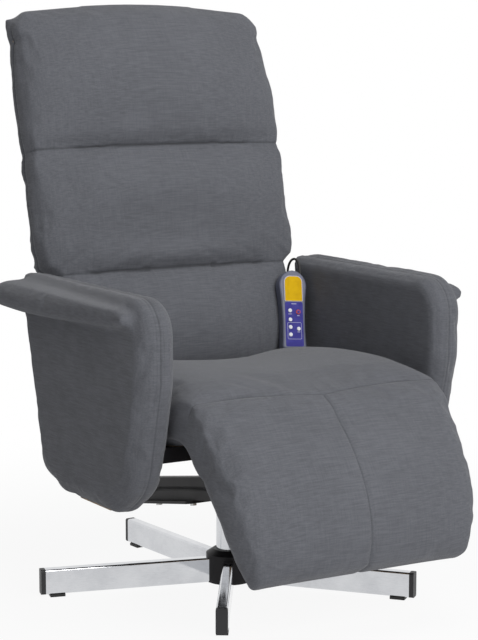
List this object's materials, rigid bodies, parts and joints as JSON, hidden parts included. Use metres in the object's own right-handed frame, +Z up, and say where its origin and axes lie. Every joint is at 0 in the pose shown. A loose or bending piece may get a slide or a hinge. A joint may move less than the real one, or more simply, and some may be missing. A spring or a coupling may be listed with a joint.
{
  "type": "massage recliner",
  "caption": "Fabric massage recliner with a hinged back, a hanging legrest, padded arms, a chrome star base that swivels and a corded handset.",
  "frame": {"origin": "on the floor under the centre of the whole chair's box", "axes": "+X towards the sitter's left, -Y is the front, +Z up"},
  "size_m": [0.7416, 0.8081, 1.0095],
  "materials": {
    "fabric": "woven dark grey upholstery",
    "chrome": "polished chrome plate",
    "black_steel": "satin black powder coat",
    "black_plastic": "fine moulded texture",
    "black_rubber": "matt",
    "steel": "zinc plated",
    "plywood": "bare sanded plywood",
    "handset_shell": "slate violet moulded plastic",
    "yellow_panel": "smooth yellow film",
    "violet_panel": "smooth violet film",
    "white_key": "smooth",
    "red_key": "smooth"
  },
  "bodies": {
    "base": {"base_hub": "black_steel", "leg_1": "chrome", "leg_2": "chrome", "leg_3": "chrome", "leg_4": "chrome", "leg_5": "chrome", "leg_end_caps": "black_plastic", "foot_pads": "black_rubber", "leg_screws": "steel", "column_tube": "chrome", "swivel_bush": "black_plastic", "thrust_washer": "black_plastic"},
    "seat": {"swivel_spindle": "steel", "retaining_ring": "steel", "swivel_plate": "black_steel", "rail_right": "black_steel", "rail_left": "black_steel", "front_cross_bar": "black_steel", "rear_cross_bar": "black_steel", "mechanism_bolts": "steel", "seat_board": "plywood", "seat_cushion": "fabric", "seat_motors": "black_plastic", "arm_pad_left": "fabric", "arm_pad_right": "fabric", "arm_core_left": "plywood", "arm_core_right": "plywood", "arm_roll_left": "fabric", "arm_roll_right": "fabric", "arm_bolts": "steel", "control_box": "black_plastic", "power_inlet": "black_plastic", "cord_gland": "black_plastic", "legrest_pins": "steel", "recline_pins": "steel", "handset_rear": "handset_shell", "handset_front": "handset_shell", "upper_panel": "yellow_panel", "key_panel": "violet_panel", "handset_relief": "black_rubber", "handset_cord": "black_rubber"},
    "back": {"back_cushion": "fabric", "back_board": "plywood", "back_cover": "fabric", "upper_motors": "black_plastic", "lumbar_motors": "black_plastic", "hinge_arm_left": "black_steel", "hinge_arm_right": "black_steel"},
    "legrest": {"leg_board": "plywood", "leg_cushion": "fabric", "leg_hinge": "black_steel", "knee_cushion": "fabric"},
    "power_key": {"power_key": "red_key"},
    "mode_key": {"mode_key": "white_key"},
    "strength_key": {"strength_key": "white_key"},
    "back_key": {"back_key": "white_key"},
    "lumbar_key": {"lumbar_key": "white_key"},
    "seat_key": {"seat_key": "white_key"}
  },
  "joints": [
    {"name": "swivel", "type": "hinge", "parent": "base", "child": "seat", "pos_m": [0, 0.038, 0.15], "axis": [0, 0, 1], "continuous": true},
    {"name": "recline", "type": "hinge", "parent": "seat", "child": "back", "pos_m": [0, 0.188, 0.3], "axis": [-1, 0, 0], "range_deg": [0, 36]},
    {"name": "legrest_lift", "type": "hinge", "parent": "seat", "child": "legrest", "pos_m": [0, -0.212, 0.3], "axis": [-1, 0, 0], "range_deg": [0, 45], "deforming": ["knee_cushion"]},
    {"name": "power_key_press", "type": "slide", "parent": "seat", "child": "power_key", "axis": [0.1834, 0.9436, -0.2756], "range_m": [0, 0.001], "stiffness_N_per_m": 400},
    {"name": "mode_key_press", "type": "slide", "parent": "seat", "child": "mode_key", "axis": [0.1834, 0.9436, -0.2756], "range_m": [0, 0.001], "stiffness_N_per_m": 400},
    {"name": "strength_key_press", "type": "slide", "parent": "seat", "child": "strength_key", "axis": [0.1834, 0.9436, -0.2756], "range_m": [0, 0.001], "stiffness_N_per_m": 400},
    {"name": "back_key_press", "type": "slide", "parent": "seat", "child": "back_key", "axis": [0.1834, 0.9436, -0.2756], "range_m": [0, 0.001], "stiffness_N_per_m": 400},
    {"name": "lumbar_key_press", "type": "slide", "parent": "seat", "child": "lumbar_key", "axis": [0.1834, 0.9436, -0.2756], "range_m": [0, 0.001], "stiffness_N_per_m": 400},
    {"name": "seat_key_press", "type": "slide", "parent": "seat", "child": "seat_key", "axis": [0.1834, 0.9436, -0.2756], "range_m": [0, 0.001], "stiffness_N_per_m": 400}
  ],
  "couplings": [
    {"joint": "legrest_lift", "follows": "recline", "ratio": 1.25}
  ]
}
